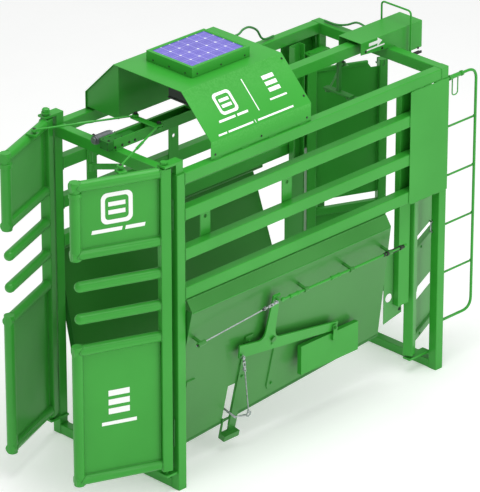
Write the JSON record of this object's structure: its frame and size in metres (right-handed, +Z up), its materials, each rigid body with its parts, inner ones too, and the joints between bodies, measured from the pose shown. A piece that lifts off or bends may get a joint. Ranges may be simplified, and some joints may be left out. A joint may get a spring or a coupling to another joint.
{
  "type": "cattle squeeze chute",
  "caption": "Welded tube frame with a split head gate, a split tail gate, two hinged squeeze sides and a solar powered drive on top of each gate, for holding cattle",
  "frame": {"origin": "middle of the underside of the front sill, at floor level", "axes": "+Z up; +Y from the head gate to the tail gate; +X to the side that carries the crank and its weight"},
  "size_m": [1.1074, 2.856, 2.2105],
  "materials": {
    "green_paint": "green powder coat, semi gloss",
    "shaded_paint": "darker green powder coat",
    "zinc": "zinc plated steel",
    "motor_grey": "die cast housing, satin grey",
    "solar_cells": "glossy panel with blue violet cells",
    "green_loom": "green cable loom"
  },
  "bodies": {
    "frame": {"front_portal": "green_paint", "rear_portal": "green_paint", "near_top_rail": "green_paint", "near_upper_rail": "green_paint", "near_middle_rail": "green_paint", "near_lower_rail": "green_paint", "near_rear_plate": "green_paint", "near_stile": "green_paint", "near_guide_plate": "shaded_paint", "far_top_rail": "green_paint", "far_upper_rail": "green_paint", "far_middle_rail": "green_paint", "far_lower_rail": "green_paint", "far_rear_plate": "green_paint", "far_stile": "green_paint", "far_guide_plate": "shaded_paint", "hood": "green_paint", "hood_bay": "shaded_paint", "solar_tray": "green_paint", "solar_panel": "solar_cells", "drive_spine": "green_paint", "head_actuator": "motor_grey", "tail_actuator": "motor_grey", "tail_housing": "green_paint", "rear_grille": "green_paint", "hood_cable": "green_loom", "tail_cable": "green_loom"},
    "head_crosshead": {"head_crosshead": "green_paint"},
    "tail_crosshead": {"tail_crosshead": "green_paint"},
    "near_head_leaf": {"near_head_hinge_tube": "green_paint", "near_head_upper_panel": "green_paint", "near_head_finger_high": "green_paint", "near_head_finger_low": "green_paint", "near_head_lower_panel": "green_paint"},
    "near_tail_leaf": {"near_tail_hinge_tube": "green_paint", "near_tail_panel": "green_paint"},
    "near_head_tie_rod": {"near_head_tie_rod": "green_paint"},
    "near_tail_tie_rod": {"near_tail_tie_rod": "green_paint"},
    "near_side": {"near_squeeze_side": "green_paint"},
    "far_head_leaf": {"far_head_hinge_tube": "green_paint", "far_head_upper_panel": "green_paint", "far_head_finger_high": "green_paint", "far_head_finger_low": "green_paint", "far_head_lower_panel": "green_paint"},
    "far_tail_leaf": {"far_tail_hinge_tube": "green_paint", "far_tail_panel": "green_paint"},
    "far_head_tie_rod": {"far_head_tie_rod": "green_paint"},
    "far_tail_tie_rod": {"far_tail_tie_rod": "green_paint"},
    "far_side": {"far_squeeze_side": "green_paint"},
    "side_crank": {"side_crank": "green_paint"},
    "front_cable": {"front_cable": "zinc"},
    "push_rod": {"push_rod": "green_paint"},
    "latch_cable": {"latch_cable": "zinc"},
    "counterweight": {"counterweight": "green_paint"},
    "release_hoop": {"release_hoop": "green_paint"},
    "grille_loop": {"grille_loop": "green_paint"},
    "trip_lever": {"trip_lever": "green_paint"}
  },
  "joints": [
    {"name": "near_head_leaf_swing", "type": "hinge", "parent": "frame", "child": "near_head_leaf", "pos_m": [0.445, -0.0785, 1], "axis": [0, 0, 1], "range_deg": [-24, 20]},
    {"name": "far_head_leaf_swing", "type": "hinge", "parent": "frame", "child": "far_head_leaf", "pos_m": [-0.445, -0.0785, 1], "axis": [0, 0, 1], "range_deg": [-20, 24]},
    {"name": "head_crosshead_travel", "type": "slide", "parent": "frame", "child": "head_crosshead", "axis": [0, 1, 0], "range_m": [-0.0755, 0.0905]},
    {"name": "near_head_tie_rod_turn", "type": "hinge", "parent": "head_crosshead", "child": "near_head_tie_rod", "pos_m": [0.088, 0.231, 1.9075], "axis": [0, 0, 1], "range_deg": [-9, 7.5]},
    {"name": "far_head_tie_rod_turn", "type": "hinge", "parent": "head_crosshead", "child": "far_head_tie_rod", "pos_m": [-0.088, 0.231, 1.9075], "axis": [0, 0, 1], "range_deg": [-7.5, 9]},
    {"name": "near_tail_leaf_swing", "type": "hinge", "parent": "frame", "child": "near_tail_leaf", "pos_m": [0.39, 1.8595, 0.9], "axis": [0, 0, 1], "range_deg": [-22, 29]},
    {"name": "far_tail_leaf_swing", "type": "hinge", "parent": "frame", "child": "far_tail_leaf", "pos_m": [-0.39, 1.8595, 0.9], "axis": [0, 0, 1], "range_deg": [-29, 22]},
    {"name": "tail_crosshead_travel", "type": "slide", "parent": "frame", "child": "tail_crosshead", "axis": [0, 1, 0], "range_m": [-0.101, 0.0765]},
    {"name": "near_tail_tie_rod_turn", "type": "hinge", "parent": "tail_crosshead", "child": "near_tail_tie_rod", "pos_m": [0.08, 1.68, 1.62], "axis": [0, 0, 1], "range_deg": [-9.5, 12.5]},
    {"name": "far_tail_tie_rod_turn", "type": "hinge", "parent": "tail_crosshead", "child": "far_tail_tie_rod", "pos_m": [-0.08, 1.68, 1.62], "axis": [0, 0, 1], "range_deg": [-12.5, 9.5]},
    {"name": "near_side_swing", "type": "hinge", "parent": "frame", "child": "near_side", "pos_m": [0.462, 0.8, 1.091], "axis": [0, 1, 0], "range_deg": [-4, 8]},
    {"name": "far_side_swing", "type": "hinge", "parent": "frame", "child": "far_side", "pos_m": [-0.462, 0.8, 1.091], "axis": [0, 1, 0], "range_deg": [-8, 4]},
    {"name": "side_crank_turn", "type": "hinge", "parent": "near_side", "child": "side_crank", "pos_m": [0.47762, 0.682, 0.65194], "axis": [-0.9753, 0, 0.2207], "range_deg": [-2.5, 10]},
    {"name": "front_cable_pull", "type": "slide", "parent": "near_side", "child": "front_cable", "axis": [0.0225, 0.9948, 0.0995], "range_m": [-0.012, 0.048]},
    {"name": "push_rod_travel", "type": "slide", "parent": "near_side", "child": "push_rod", "axis": [0, 1, 0], "range_m": [-0.012, 0.048]},
    {"name": "latch_cable_pull", "type": "slide", "parent": "near_side", "child": "latch_cable", "axis": [0.2108, -0.297, 0.9313], "range_m": [-0.0102, 0.0406]},
    {"name": "counterweight_hang", "type": "hinge", "parent": "side_crank", "child": "counterweight", "pos_m": [0.46536, 1.18, 0.53886], "axis": [-0.9753, 0, 0.2207], "range_deg": [-10, 2.5]},
    {"name": "release_hoop_tilt", "type": "hinge", "parent": "frame", "child": "release_hoop", "pos_m": [0, 2.131, 1.746], "axis": [-1, 0, 0], "range_deg": [-10, 35]},
    {"name": "grille_loop_swing", "type": "hinge", "parent": "frame", "child": "grille_loop", "pos_m": [0.4695, 2.107, 1.745], "axis": [0, 1, 0], "range_deg": [-70, 70]},
    {"name": "trip_lever_turn", "type": "hinge", "parent": "frame", "child": "trip_lever", "pos_m": [-0.19, 0, 1.66], "axis": [0, 0, 1], "range_deg": [-40, 40]}
  ],
  "couplings": [
    {"joint": "far_head_leaf_swing", "follows": "near_head_leaf_swing", "ratio": -1},
    {"joint": "head_crosshead_travel", "follows": "near_head_leaf_swing", "m_per_rad": -0.21346},
    {"joint": "near_head_tie_rod_turn", "follows": "near_head_leaf_swing", "ratio": 0.36546},
    {"joint": "far_head_tie_rod_turn", "follows": "near_head_leaf_swing", "ratio": -0.36546},
    {"joint": "far_tail_leaf_swing", "follows": "near_tail_leaf_swing", "ratio": -1},
    {"joint": "tail_crosshead_travel", "follows": "near_tail_leaf_swing", "m_per_rad": -0.19726},
    {"joint": "near_tail_tie_rod_turn", "follows": "near_tail_leaf_swing", "ratio": 0.42109},
    {"joint": "far_tail_tie_rod_turn", "follows": "near_tail_leaf_swing", "ratio": -0.42109},
    {"joint": "far_side_swing", "follows": "near_side_swing", "ratio": -1},
    {"joint": "front_cable_pull", "follows": "side_crank_turn", "m_per_rad": 0.2726},
    {"joint": "push_rod_travel", "follows": "side_crank_turn", "m_per_rad": 0.274},
    {"joint": "latch_cable_pull", "follows": "side_crank_turn", "m_per_rad": 0.2316},
    {"joint": "counterweight_hang", "follows": "side_crank_turn", "ratio": -1}
  ]
}
